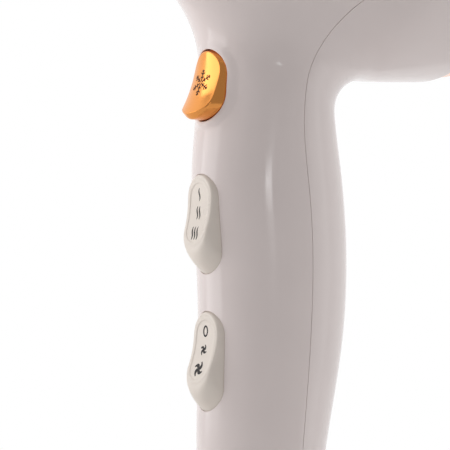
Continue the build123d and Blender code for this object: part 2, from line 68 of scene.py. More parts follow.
# (x, radius), from the nozzle to the intake
BARREL = [(-12, 25.0), (-40, 25.5), (-70, 26.2), (-95, 28.5), (-118, 35.5), (-138, 42.0), (-148, 43.5),
          (-157, 43.0), (-177, 39.9)]
# (distance down, reach to the front, reach to the rear, half width)
HANDLE_SECTIONS = [
    (14, 19.2, 17.8, 17.6), (30, 19.2, 17.9, 17.6), (44, 19.5, 18.0, 17.5), (58, 20.4, 18.6, 17.3),
    (72, 22.0, 21.0, 17.0), (96, 20.8, 23.1, 17.0), (120, 20.1, 21.6, 16.6), (146, 20.7, 16.7, 15.4),
    (170, 20.0, 13.6, 14.2), (186, 19.0, 12.5, 13.5),
]
HANDLE_TOP = 10.0
HANDLE_END = 186.0
HANDLE_END_ROUND = 3.0
# the fillet where handle and barrel meet: its radius at the rear, what it gains, and over which reaches
NECK_FILLET = 13.0
NECK_FILLET_GAIN = 1.0
NECK_FILLET_RUN = (-12, 10)
# the parting line: (front reach, distance down) up the handle, then (x, z) over the bell
SEAM = [(1.6, 205), (-0.6, 146), (-2.5, 103), (-1.7, 81), (0.5, 57)]
SEAM_BELL = [(-132.3, -25.6), (-147.0, -11.5), (-166.0, -4.5), (-182.0, -3.0)]
# the cool-shot button, its gap, and the raised oval that fades out round it
COOL_S = 50.6
COOL_HALF = (9.5, 7.05)
COOL_FACE_HALF = (9.15, 6.35)
COOL_GAP = 0.16
OVAL_LIFT = 0.6
OVAL_LIFT_GAIN = 0.2
OVAL_LIFT_RUN = 10
OVAL_FADE = (0.5, 2.9)
# the rockers
HEAT_S = 87.5
SPEED_S = 124.0
ROCKER_HALF = (13.1, 5.95)
ROCKER_HOLE = (13.35, 6.08)
PIVOT_DEPTH = 9.2
# the cover's screws, and the cord inlet's (front reach, radius)
SCREW_S = (66.0, 152.0)
SCREW_POCKET_R = 3.2
INLET = (3.25, 8.05)

# ---- how finely the housing is meshed, and its edges ----
CELL = 0.85
NEAR_CELLS = 1.6
SHELL_BOX = ((REAR_X - 4, -46.0, -190.0), (FRONT_X + 4, 46.0, 46.0))
SNAP = 0.25
WALL = 1.6
SEAM_HALF = 0.05
EDGE_R = 0.14
RIM_TOLERANCE = 0.02
SEAM_STEPS = 260
CHUNK = 20000
NO_TRIS = np.zeros((0, 3), int)
# a gate acts only beyond this reach from the handle's axis, and stands this far off elsewhere
GATE_REACH = 4
FAR = 9.0


# ---- curves ----
def natural_curve(xs, ys):
    """A natural cubic through the points: a function of x that gives (value, slope)."""
    xs, ys = np.asarray(xs, float), np.asarray(ys, float)
    gap = np.diff(xs)
    size = len(xs)
    system = np.eye(size)
    right = np.zeros(size)
    for i in range(1, size - 1):
        system[i, i - 1:i + 2] = gap[i - 1], 2 * (gap[i - 1] + gap[i]), gap[i]
        right[i] = 6 * ((ys[i + 1] - ys[i]) / gap[i] - (ys[i] - ys[i - 1]) / gap[i - 1])
    bend = np.linalg.solve(system, right)

    def at(x):
        x = np.clip(x, xs[0], xs[-1])
        i = np.clip(np.searchsorted(xs, x) - 1, 0, size - 2)
        h, left, rest = gap[i], x - xs[i], xs[i + 1] - x
        value = (bend[i] * rest ** 3 + bend[i + 1] * left ** 3) / (6 * h)
        value += (ys[i] / h - bend[i] * h / 6) * rest + (ys[i + 1] / h - bend[i + 1] * h / 6) * left
        slope = (bend[i + 1] * left ** 2 - bend[i] * rest ** 2) / (2 * h)
        slope += (ys[i + 1] - ys[i]) / h - (bend[i + 1] - bend[i]) * h / 6
        return value, slope

    return at


def step(low, high, x):
    """A smooth step from 0 at low to 1 at high."""
    u = np.clip((x - low) / (high - low), 0, 1)
    return u * u * (3 - 2 * u)


barrel_curve = natural_curve(*zip(*sorted(BARREL)))
section_s, *section_reaches = zip(*HANDLE_SECTIONS)
front_curve, rear_curve, side_curve = (natural_curve(section_s, reach) for reach in section_reaches)


def to_handle(p):
    """(front reach, y, distance down) of points in the part's frame."""
    dx = p[:, 0] - HANDLE_X
    return dx * cos(LEAN) - p[:, 2] * sin(LEAN), p[:, 1], -dx * sin(LEAN) - p[:, 2] * cos(LEAN)


def from_handle(t, y, s):
    """Points in the part's frame, from the handle's own."""
    t, y, s = np.broadcast_arrays(t, y, s)
    return np.stack([HANDLE_X + t * cos(LEAN) - s * sin(LEAN), y + 0.0, -t * sin(LEAN) - s * cos(LEAN)], -1)


# ---- the housing's form, as distance-like fields ----
def stadium(along, across, half_length, half_width):
    """Signed distance to a round-ended slot."""
    run = np.maximum(np.abs(along) - (half_length - half_width), 0)
    return np.hypot(run, across) - half_width


def barrel_field(p):
    """Below zero inside the barrel and bell."""
    radius, slope = barrel_curve(p[:, 0])
    return (np.hypot(p[:, 1], p[:, 2]) - radius) / np.sqrt(1 + slope ** 2)


def handle_field(p):
    """Below zero inside the handle."""
    t, y, s = to_handle(p)
    front, rear, half = front_curve(s)[0], rear_curve(s)[0], side_curve(s)[0]
    centre, deep = (front - rear) / 2, (front + rear) / 2
    u, v = (t - centre) / deep, y / half
    size = np.sqrt(u * u + v * v) + 1e-9
    side = (size - 1) * size / np.sqrt((u / deep) ** 2 + (v / half) ** 2 + 1e-12)
    return np.maximum(soft_max(side, s - HANDLE_END, HANDLE_END_ROUND), HANDLE_TOP - s)


def soft_max(a, b, radius):
    """The larger of two fields, rounded where they meet."""
    u, v = np.maximum(radius + a, 0), np.maximum(radius + b, 0)
    return np.minimum(-radius, np.maximum(a, b)) + np.hypot(u, v)


def soft_min(a, b, radius):
    """The smaller of two fields, with a fillet where they meet."""
    u, v = np.maximum(radius - a, 0), np.maximum(radius - b, 0)
    return np.maximum(radius, np.minimum(a, b)) - np.hypot(u, v)


def body_field(p):
    """The whole housing: barrel and handle blended at the neck, with the raised oval round the button."""
    t, y, s = to_handle(p)
    radius = NECK_FILLET + NECK_FILLET_GAIN * step(*NECK_FILLET_RUN, t)
    form = soft_min(barrel_field(p), handle_field(p), radius)
    oval = stadium(s - COOL_S, y, *COOL_HALF)
    height = OVAL_LIFT + OVAL_LIFT_GAIN * np.clip((s - COOL_S) / OVAL_LIFT_RUN, -1, 1)
    return form - height * (1 - step(*OVAL_FADE, oval)) * (t > GATE_REACH)


# ---- meshing a field ----
def gradient(field, p, reach=0.02):
    """A field's slope at points, by differences."""
    out = np.empty_like(p)
    for axis in range(3):
        shift = np.zeros(3)
        shift[axis] = reach
        out[:, axis] = (field(p + shift) - field(p - shift)) / (2 * reach)
    return out


def unit(v):
    """Rows scaled to length 1."""
    return v / np.maximum(np.linalg.norm(v, axis=1), 1e-12)[:, None]


def onto(field, p, rounds=4):
    """Points moved onto a field's zero surface."""
    for _ in range(rounds):
        slope = gradient(field, p)
        p = p - slope * (field(p) / np.maximum((slope * slope).sum(1), 1e-9))[:, None]
    return p


def along_surface(field, gate, p):
    """The part of a gate's gradient that lies in the surface."""
    normal = unit(gradient(field, p))
    slope = gradient(gate, p)
    return slope - normal * (slope * normal).sum(1)[:, None]


def meet(field, gate, p, rounds=5):
    """Points moved to where the surface crosses a gate."""
    for _ in range(rounds):
        lie = along_surface(field, gate, p)
        p = p - lie * (gate(p) / np.maximum((lie * lie).sum(1), 1e-9))[:, None]
        p = onto(field, p, 1)
    return p


def sampled(field, axes, cell, coarse=4):
    """The field on a grid, worked out finely only near its surface."""
    shape = [len(a) for a in axes]
    rough_axes = [a[::coarse] + (a[1] - a[0]) * coarse / 2 for a in axes]
    rough = np.stack(np.meshgrid(*rough_axes, indexing="ij"), -1)
    value = field(rough.reshape(-1, 3)).reshape(rough.shape[:3])
    for axis in range(3):
        value = np.repeat(value, coarse, axis=axis)
    value = value[:shape[0], :shape[1], :shape[2]].copy()
    near = np.argwhere(np.abs(value) < cell * coarse * NEAR_CELLS)
    points = np.stack([axes[i][near[:, i]] for i in range(3)], 1)
    value[tuple(near.T)] = field(points)
    return value


def net(field, low, high, cell=CELL):
    """A quad mesh of a field's zero surface: one vertex in each crossed cell, then evened out."""
    axes = [np.arange(a, b + cell, cell) for a, b in zip(low, high)]
    inside = sampled(field, axes, cell) < 0
    size = [n - 1 for n in inside.shape]
    corners = sum(inside[i:size[0] + i, j:size[1] + j, k:size[2] + k].astype(int)
                  for i in (0, 1) for j in (0, 1) for k in (0, 1))
    active = (corners > 0) & (corners < 8)
    index = np.full(active.shape, -1)
    index[active] = np.arange(active.sum())
    where = np.argwhere(active)
    p = np.stack([axes[i][where[:, i]] + cell / 2 for i in range(3)], 1)
    faces = []
    for axis in range(3):
        order = [(axis + i) % 3 for i in range(3)]
        solid, number = inside.transpose(order), index.transpose(order)
        crossed = solid[:-1, 1:-1, 1:-1] != solid[1:, 1:-1, 1:-1]
        i, j, k = np.nonzero(crossed)
        j, k = j + 1, k + 1
        around = ((j - 1, k - 1), (j, k - 1), (j, k), (j - 1, k))
        quad = np.stack([number[i, a, b] for a, b in around], 1)
        flip = ~solid[i, j, k]
        quad[flip] = quad[flip][:, ::-1]
        faces.append(quad)
    faces = np.concatenate(faces)
    p = onto(field, p, 6)
    for _ in range(4):
        p = onto(field, evened(p, faces), 2)
    return p, faces


def evened(p, faces):
    """Each vertex moved half-way to the mean of its neighbours."""
    ends = np.concatenate([faces[:, [i, (i + 1) % 4]] for i in range(4)])
    count = np.bincount(ends[:, 0], minlength=len(p)) + np.bincount(ends[:, 1], minlength=len(p))
    total = np.zeros_like(p)
    for axis in range(3):
        total[:, axis] = np.bincount(ends[:, 0], p[ends[:, 1], axis], len(p))
        total[:, axis] += np.bincount(ends[:, 1], p[ends[:, 0], axis], len(p))
    return (p + total / np.maximum(count, 1)[:, None]) / 2


def clip(p, quads, tris, field, gate, snap=SNAP):
    """The part of a mesh where the gate is positive, cut cleanly along the gate's line."""
    value = gate(p)
    near = np.abs(value) < snap
    p = p.copy()
    p[near] = meet(field, gate, p[near])
    value = gate(p)
    value[near] = 0
    side = np.sign(value).astype(int)
    whole = (side[quads] >= 0).all(1) & (side[quads] > 0).any(1)
    mixed = (side[quads] > 0).any(1) & (side[quads] < 0).any(1)
    split = quads[mixed]
    tris = np.concatenate([tris, split[:, [0, 1, 2]], split[:, [0, 2, 3]]])
    quads = quads[whole]
    kept = tris[(side[tris] >= 0).all(1) & (side[tris] > 0).any(1)]
    cut = tris[(side[tris] > 0).any(1) & (side[tris] < 0).any(1)]
    fresh, made, pieces = [], {}, []

    def crossing(a, b):
        key = (min(a, b), max(a, b))
        if key not in made:
            made[key] = len(p) + len(fresh)
            share = value[a] / (value[a] - value[b])
            fresh.append(p[a] + (p[b] - p[a]) * share)
        return made[key]

    for tri in cut.tolist():
        ring = []
        for a, b in zip(tri, tri[1:] + tri[:1]):
            if side[a] >= 0:
                ring.append(a)
            if side[a] * side[b] < 0:
                ring.append(crossing(a, b))
        pieces += [[ring[0], ring[i], ring[i + 1]] for i in range(1, len(ring) - 1)]
    if fresh:
        p = np.concatenate([p, meet(field, gate, np.array(fresh))])
    tris = np.concatenate([kept, np.array(pieces, int).reshape(-1, 3)])
    return p, quads, tris


def tidied(p, quads, tris):
    """Only the vertices in use, renumbered."""
    used = np.unique(np.concatenate([quads.ravel(), tris.ravel()]))
    new = np.full(len(p), -1)
    new[used] = np.arange(len(used))
    return p[used], new[quads], new[tris]


def rim_edges(quads, tris):
    """Directed edges that only one face has."""
    ends = [quads[:, [i, (i + 1) % 4]] for i in range(4)] + [tris[:, [i, (i + 1) % 3]] for i in range(3)]
    ends = np.concatenate(ends)
    big = int(ends.max()) + 1
    code = ends[:, 0] * big + ends[:, 1]
    back = ends[:, 1] * big + ends[:, 0]
    return ends[~np.isin(code, back)]


def shell_mesh(name, p, quads, tris, field, gates, wall=WALL, edge=EDGE_R, deepen=None):
    """A closed wall from an outer surface: rounded rims at its cut lines, and an inner face."""
    p, quads, tris = tidied(p, quads, tris)
    normal = unit(gradient(field, p))
    rim = rim_edges(quads, tris)
    ids = np.unique(rim)
    out = np.zeros((len(ids), 3))
    for gate in gates:
        on = np.abs(gate(p[ids])) < RIM_TOLERANCE
        if on.any():
            out[on] -= unit(along_surface(field, gate, p[ids][on]))
    out = unit(out)
    n = normal[ids]
    half = sqrt(0.5)
    turn = p[ids] + out * edge * half - n * edge * (1 - half)
    lip = p[ids] + out * edge - n * edge
    inner = p - normal * wall
    inner[ids] = p[ids] + out * edge - n * wall
    if deepen is not None:
        inner[ids] = deepen(p[ids] + out * edge, inner[ids])
    count, many = len(p), len(ids)
    place = np.full(count, -1)
    place[ids] = np.arange(many)
    a, b = place[rim[:, 0]], place[rim[:, 1]]
    first, second, deep = count, count + many, count + 2 * many
    faces = quads.tolist() + tris.tolist()
    faces += np.stack([rim[:, 1], rim[:, 0], first + a, first + b], 1).tolist()
    faces += np.stack([first + b, first + a, second + a, second + b], 1).tolist()
    faces += np.stack([second + b, second + a, deep + rim[:, 0], deep + rim[:, 1]], 1).tolist()
    faces += (quads[:, ::-1] + deep).tolist() + (tris[:, ::-1] + deep).tolist()
    points = np.concatenate([p, turn, lip, inner])
    back = -normal
    back[ids] = out
    normals = np.concatenate([normal, unit(n + out), out, back])
    return mesh_object(name, points, faces, normals)


def mesh_object(name, points, faces, normals=None):
    """A Blender mesh in metres from points in millimetres, shaded smooth."""
    mesh = bpy.data.meshes.new(name)
    mesh.from_pydata((np.asarray(points) * MM).tolist(), [], faces)
    mesh.validate()
    mesh.polygons.foreach_set("use_smooth", [True] * len(mesh.polygons))
    if normals is not None:
        mesh.normals_split_custom_set_from_vertices(np.asarray(normals).tolist())
    thing = bpy.data.objects.new(name, mesh)
    bpy.context.scene.collection.objects.link(thing)
    return thing


# ---- the two shells ----
def seam_line():
    """The parting line on the mid-plane: close (x, z) points from the handle's end to the ring."""
    handle = [from_handle(t, 0.0, s)[[0, 2]] for t, s in SEAM]
    points = np.array(handle + [np.array(row) for row in SEAM_BELL])
    chord = np.concatenate([[0], np.cumsum(np.hypot(*np.diff(points, axis=0).T))])
    x_at, z_at = natural_curve(chord, points[:, 0]), natural_curve(chord, points[:, 1])
    along = np.linspace(0, chord[-1], SEAM_STEPS)
    return np.stack([x_at(along)[0], z_at(along)[0]], 1)


SEAM_POINTS = seam_line()


def seam_distance(p):
    """Signed distance to the parting line: positive on the nozzle's side of it."""
    flat = p[:, [0, 2]]
    start, run = SEAM_POINTS[:-1], np.diff(SEAM_POINTS, axis=0)
    out = np.empty(len(flat))
    for low in range(0, len(flat), CHUNK):
        part = flat[low:low + CHUNK]
        rel = part[:, None] - start[None]
        share = (rel * run).sum(2) / (run * run).sum(1)
        share[:, 1:-1] = np.clip(share[:, 1:-1], 0, 1)
        share[:, 0] = np.minimum(share[:, 0], 1)
        share[:, -1] = np.maximum(share[:, -1], 0)
        gap = rel - share[..., None] * run
        far = np.hypot(gap[..., 0], gap[..., 1])
        best = far.argmin(1)
        rows = np.arange(len(part))
        cross = run[best, 0] * rel[rows, best, 1] - run[best, 1] * rel[rows, best, 0]
        out[low:low + CHUNK] = far[rows, best] * -np.sign(cross)
    return out


def slot_gate(s_centre, half, grow):
    """Positive outside a round-ended opening in the handle's front."""
    def gate(p):
        t, y, s = to_handle(p)
        outside = stadium(s - s_centre, y, half[0] + grow, half[1] + grow)
        return np.where(t > GATE_REACH, outside, FAR)
    return gate


def screw_gate(s_centre):
    """Positive outside a screw pocket in the handle's back."""
    def gate(p):
        t, y, s = to_handle(p)
        outside = np.hypot(y, s - s_centre) - SCREW_POCKET_R - EDGE_R
        return np.where(t < -GATE_REACH, outside, FAR)
    return gate


def inlet_gate(p):
    """Positive outside the cord inlet's hole in the handle's end."""
    t, y, s = to_handle(p)
    outside = np.hypot(t - INLET[0], y) - INLET[1] - EDGE_R
    return np.where(s > HANDLE_END - GATE_REACH, outside, FAR)


def front_gate(p):
    """Positive behind the nozzle's end."""
    return FRONT_X - EDGE_R - p[:, 0]


def rear_gate(p):
    """Positive in front of the bell's end."""
    return p[:, 0] - REAR_X - EDGE_R


def main_seam_gate(p):
    """Positive on the main shell's side of the seam."""
    return seam_distance(p) - SEAM_HALF - EDGE_R


def cover_seam_gate(p):
    """Positive on the back cover's side of the seam."""
    return -seam_distance(p) - SEAM_HALF - EDGE_R


def pivot_of(s_centre):
    """A rocker pivot's (front reach, distance down)."""
    for (s0, f0, _, _), (s1, f1, _, _) in zip(HANDLE_SECTIONS, HANDLE_SECTIONS[1:]):
        if s0 <= s_centre <= s1:
            return f0 + (f1 - f0) * (s_centre - s0) / (s1 - s0) - PIVOT_DEPTH, s_centre
    raise ValueError(s_centre)


RIM_NEAR = 1.0
SWING_FADE = (5.5, 8.5)


def swung_rims(rim, inner):
    """Inner rim points: round a rocker's opening they follow the arc that the rocker's ends swing on."""
    t, y, s = to_handle(rim)
    inner_t, inner_y, inner_s = to_handle(inner)
    for s_centre in (HEAT_S, SPEED_S):
        pivot_t, pivot_s = pivot_of(s_centre)
        reach = stadium(s - s_centre, y, *ROCKER_HALF)
        near = (np.abs(reach) < RIM_NEAR) & (t > GATE_REACH)
        up = s - pivot_s
        radius = np.hypot(t - pivot_t, up)
        low_t = t - WALL
        swung = np.sign(up) * np.sqrt(np.maximum(radius ** 2 - (low_t - pivot_t) ** 2, 0))
        share = step(*SWING_FADE, np.abs(up))
        inner_s = np.where(near, s + (swung - up) * share, inner_s)
        inner_t = np.where(near, low_t, inner_t)
        inner_y = np.where(near, y, inner_y)
    return from_handle(inner_t, inner_y, inner_s)


def build_shells():
    """The white main shell and back cover, meshed from one form and parted at the seam."""
    p, quads = net(body_field, *SHELL_BOX)
    ends = [front_gate, rear_gate]
    openings = [slot_gate(COOL_S, COOL_HALF, COOL_GAP + EDGE_R)]
    openings += [slot_gate(s_centre, ROCKER_HOLE, EDGE_R) for s_centre in (HEAT_S, SPEED_S)]
    main_gates = ends + [main_seam_gate, inlet_gate] + openings
    cover_gates = ends + [cover_seam_gate, inlet_gate] + [screw_gate(s) for s in SCREW_S]
    made = []
    for name, gates in (("white_main_shell", main_gates), ("white_back_cover", cover_gates)):
        part = (p, quads, NO_TRIS)
        for gate in gates:
            part = clip(*part, body_field, gate)
        made.append(shell_mesh(name, *part, body_field, gates, deepen=swung_rims))
    return made


# ---- smaller pieces ----
def sharpened(thing, angle=35.0):
    """Marks a mesh's edges sharp where its faces turn by more than the angle."""
    mesh = bmesh.new()
    mesh.from_mesh(thing.data)
    bmesh.ops.remove_doubles(mesh, verts=mesh.verts, dist=1e-7)
    bmesh.ops.recalc_face_normals(mesh, faces=mesh.faces)
    for edge in mesh.edges:
        edge.smooth = len(edge.link_faces) < 2 or edge.calc_face_angle(0) < radians(angle)
    mesh.to_mesh(thing.data)
    mesh.free()
    return thing


def rings_mesh(name, rings, angle=60.0, capped=True):
    """A closed skin over a stack of closed rings of points; the last ring is capped or drawn in to a line."""
    rings = [np.asarray(ring) for ring in rings]
    count = len(rings[0])
    points = np.concatenate(rings)
    faces = []
    for k in range(len(rings) - 1):
        for i in range(count):
            j = (i + 1) % count
            faces.append([k * count + i, k * count + j, (k + 1) * count + j, (k + 1) * count + i])
    faces.append(list(range(count))[::-1])
    last = (len(rings) - 1) * count
    if capped:
        faces.append(list(range(last, last + count)))
    return sharpened(mesh_object(name, points, faces), angle)


def lathe(name, outline, segments=160, angle=25.0, place=None):
    """A ring turned about the barrel's axis from a closed outline of (x, radius) points."""
    turns = np.arange(segments) * 2 * pi / segments
    points, faces = [], []
    for turn in turns:
        points += [(x, r * cos(turn), r * sin(turn)) for x, r in outline]
    size = len(outline)
    for i in range(segments):
        for j in range(size):
            a, b = i * size, (i + 1) % segments * size
            k = (j + 1) % size
            faces.append([a + j, a + k, b + k, b + j])
    points = np.array(points)
    return sharpened(mesh_object(name, place(points) if place else points, faces), angle)


def rounded(points, radius, steps=4):
    """A closed outline with every corner rounded by a short arc."""
    out = []
    count = len(points)
    for i in range(count):
        before, here, after = (np.array(points[(i + k) % count], float) for k in (-1, 0, 1))
        back, ahead = before - here, after - here
        cut = min(radius, np.linalg.norm(back) * 0.45, np.linalg.norm(ahead) * 0.45)
        start, end = here + back / np.linalg.norm(back) * cut, here + ahead / np.linalg.norm(ahead) * cut
        for k in range(steps + 1):
            u = k / steps
            out.append(tuple((1 - u) ** 2 * start + 2 * u * (1 - u) * here + u * u * end))
    return out


def slot_loop(half_length, half_width, arc=26, line=22):
    """(across, along) points round a round-ended slot: its straight sides and its two ends."""
    run = half_length - half_width
    side = np.linspace(-run, run, line, endpoint=False)
    turn = np.linspace(0, pi, arc, endpoint=False)
    right = np.stack([np.full(line, half_width), side], 1)
    top = np.stack([half_width * np.cos(turn), run + half_width * np.sin(turn)], 1)
    return np.concatenate([right, top, -right, -top])


def body_front(y, s):
    """The handle's front surface: how far it reaches at a place across and down."""
    front, rear, half = front_curve(s)[0], rear_curve(s)[0], side_curve(s)[0]
    return (front - rear) / 2 + (front + rear) / 2 * np.sqrt(1 - (y / half) ** 2)


# ---- rockers ----
FACE_HALF = (8.9, 4.95)
FACE_UP = 3.05
LIFT = natural_curve([-6.0, -3.3, 0.2, 4.4, 8.0, 12.0], [3.75, 3.05, 1.8, 0.8, 0.45, 0.4])
PANEL_HEIGHT = -0.08
PANEL_INSETS = (1.25, 1.7, 2.5, 3.3, 4.1, 4.95)
# (inset, height) over the raised border
BORDER = [(0.0, 0.0), (0.12, 0.08), (0.3, 0.12), (0.55, 0.13), (0.82, 0.12), (0.92, 0.09), (1.0, 0.01),
          (1.08, -0.06)]
FACE_RINGS = BORDER + [(inset, PANEL_HEIGHT) for inset in PANEL_INSETS]
# (depth at the sides, swing at the ends in degrees) of the skirt
SKIRTS = ((3.6, 20.0), (1.8, 10.0), (0.6, 3.0))
SKIRT_PROUD = 0.04
SKIRT_FADE = (5.0, 9.5)
LOW_SWING = 0.45
# how the drafted sides curve: at the sides, and what the lower end adds
HEEL_FADE = (7.0, 12.5)
SIDE_RISE = 0.42
SIDE_TUCK = (0.06, 0.26)
BORDER_FLARE = (0.75, 1.5)
BORDER_RISE = (0.15, 0.2)
SIDE_STEPS = 10


def cubic(u, start, first, second, end):
    """A point on a cubic curve, from its two ends and two handles."""
    v = 1 - u
    return v ** 3 * start + 3 * u * v ** 2 * first + 3 * u * u * v * second + u ** 3 * end


def rocker_face(s_centre):
    """A function from (across, up) on a rocker's face to how far forward the face stands."""
    def at(up):
        return front_curve(s_centre - up)[0] + LIFT(up)[0]
    return at


def rocker_cap(name, s_centre):
    """A rocker: skirts that follow its swing, drafted sides, a raised border and a recessed dished panel."""
    face = rocker_face(s_centre)
    pivot_t, _ = pivot_of(s_centre)
    low = slot_loop(*ROCKER_HALF)
    edge = slot_loop(*FACE_HALF) + [0, FACE_UP]
    y0, z0 = low.T
    t0 = body_front(y0, s_centre - z0) + SKIRT_PROUD
    start = np.stack([t0, y0, s_centre - z0], 1)
    end = np.stack([face(edge[:, 1]), edge[:, 0], s_centre - edge[:, 1]], 1)
    run = ROCKER_HALF[0] - ROCKER_HALF[1]
    outward = unit(np.stack([np.zeros(len(low)), y0, np.clip(z0, -run, run) - z0], 1))
    forward = np.array([1.0, 0, 0])
    reach = np.linalg.norm(end - start, axis=1)[:, None]
    heel = step(*HEEL_FADE, -z0)[:, None]
    tuck, flare, rise = (side + more * heel for side, more in (SIDE_TUCK, BORDER_FLARE, BORDER_RISE))
    first = start + reach * (SIDE_RISE * forward - tuck * outward)
    second = end + flare * outward + rise * forward
    rings = [skirt_ring(start, s_centre, pivot_t, deep, swing) for deep, swing in SKIRTS]
    rings += [cubic(k / SIDE_STEPS, start, first, second, end) for k in range(SIDE_STEPS + 1)]
    for inset, height in FACE_RINGS[1:]:
        loop = slot_loop(FACE_HALF[0] - inset, max(FACE_HALF[1] - inset, 0.0)) + [0, FACE_UP]
        rings.append(np.stack([face(loop[:, 1]) + height, loop[:, 0], s_centre - loop[:, 1]], 1))
    return rings_mesh(name, [from_handle(*ring.T) for ring in rings], capped=False)


def skirt_ring(start, s_centre, pivot_t, deep, swing):
    """The outline taken into the handle: straight in at the sides, swung about the pivot at the ends."""
    t, y, s = start.T
    up = s_centre - s
    share = step(*SKIRT_FADE, np.abs(up))
    limit = np.where(up > 0, swing, swing * LOW_SWING)
    angle = np.radians(limit) * np.sign(up)
    turned_t = pivot_t + (t - pivot_t) * np.cos(angle) - up * np.sin(angle)
    turned_up = (t - pivot_t) * np.sin(angle) + up * np.cos(angle)
    new_t = t - deep + (turned_t - t + deep) * share
    new_up = up + (turned_up - up) * share
    return np.stack([new_t, y, s_centre - new_up], 1)


# ---- inlaid symbols ----
def inlay(name, strokes, place, top=0.03, bottom=-0.1):
    """Thin raised strokes laid on a face: each is a list of (across, up, width) points."""
    points, faces = [], []
    for stroke in strokes:
        path = np.array(stroke, float)
        lead = unit(np.gradient(path[:, :2], axis=0))
        side = np.stack([-lead[:, 1], lead[:, 0]], 1) * path[:, 2:] / 2
        base = len(points)
        for centre, half in zip(path[:, :2], side):
            for (across, up), height in ((centre - half, top), (centre + half, top), (centre + half, bottom),
                                         (centre - half, bottom)):
                points.append(place(across, up, height))
        for i in range(len(path) - 1):
            for k in range(4):
                a, b = base + 4 * i + k, base + 4 * i + (k + 1) % 4
                faces.append([a, b, b + 4, a + 4])
        faces.append([base + 3, base + 2, base + 1, base])
        last = base + 4 * (len(path) - 1)
        faces.append([last, last + 1, last + 2, last + 3])
    return sharpened(mesh_object(name, np.array(points).reshape(-1, 3), faces), 30)


def on_rocker(s_centre):
    """Places (across, up, height) on a rocker's recessed panel."""
    face = rocker_face(s_centre)

    def place(across, up, height):
        return from_handle(face(up) + PANEL_HEIGHT + height, across, s_centre - up)
    return place


def wave(centre, middle, height=3.5, swing=0.26, thin=0.08, width=0.42, steps=18):
    """One upright heat wave, thin at its ends."""
    stroke = []
    for k in range(steps + 1):
        u = k / steps
        across = centre - swing * sin(2 * pi * u)
        stroke.append((across, middle + height * (0.5 - u), thin + width * sin(pi * u) ** 0.6))
    return stroke


def zero(middle, across=0.86, up=1.3, width=0.5, steps=36):
    """An upright oval ring."""
    turns = [2 * pi * k / steps for k in range(steps + 1)]
    return [(across * cos(a), middle + up * sin(a), width) for a in turns]


def fan_blades(middle, radius, start=0.35, sweep=0.95, thin=0.2, swell=0.34, steps=12):
    """Four curved blades, each widest at its middle."""
    blades = []
    for quarter in range(4):
        blade = []
        for k in range(steps + 1):
            u = k / steps
            angle = pi / 2 * quarter + start + sweep * u * u
            width = radius * (thin + swell * sin(pi * min(u * 1.05, 1.0)) ** 1.2)
            blade.append((radius * u * cos(angle), middle + radius * u * sin(angle), width))
        blades.append(blade)
    return blades


# (place along an arm, length) of each pair of barbs, as shares of the arm, and how far they lean from it
BARBS = ((0.34, 0.2), (0.62, 0.27), (0.84, 0.16))
BARB_LEAN = pi / 3.2


def snowflake(middle, across=3.6, up=3.45, width=0.32):
    """Six arms, each with three pairs of barbs."""
    strokes = []
    for arm in range(6):
        angle = pi / 2 + pi / 3 * arm
        ahead = np.array([cos(angle), sin(angle)])
        strokes.append([(*(ahead * r), width) for r in (0.12, 0.4, 0.7, 1.0)])
        for root, reach in BARBS:
            for side in (-1, 1):
                lean = angle + side * BARB_LEAN
                barb = np.array([cos(lean), sin(lean)]) * reach
                strokes.append([(*(ahead * root + barb * r), width * 0.9) for r in (0.0, 0.5, 1.0)])
    return [[(x * across, middle + z * up, w) for x, z, w in stroke] for stroke in strokes]


# ---- cool-shot button ----
# how far forward the face stands on the mid-line, from the crest up
COOL_FACE = natural_curve([-7.6, -4.3, -1.3, 1.6, 4.4, 7.0, 9.2],
                          [26.5, 24.2, 22.75, 21.7, 21.0, 20.6, 20.4])
COOL_CREST = -7.6
COOL_CREST_BOW = 0.053
COOL_CREST_ROUND = 0.3
COOL_CROWN = 0.0346
COOL_TOE_SLOPE = 0.9
COOL_EDGE = 0.42
COOL_FOOT_PROUD = 0.1
COOL_ROWS = 121
COOL_COLUMNS = 61
COOL_FLANGE_T = (12.6, 14.2)
COOL_FLANGE_LAP = 1.5


def cool_face(y, up):
    """How far forward the button's crowned face stands: dished above the crest, falling away below it."""
    crest = COOL_CREST + COOL_CREST_BOW * y ** 2
    above = COOL_FACE(np.maximum(up, COOL_CREST))[0]
    below = COOL_FACE(crest)[0] - COOL_TOE_SLOPE * (crest - up)
    return -soft_max(-above, -below, COOL_CREST_ROUND) - COOL_CROWN * y ** 2


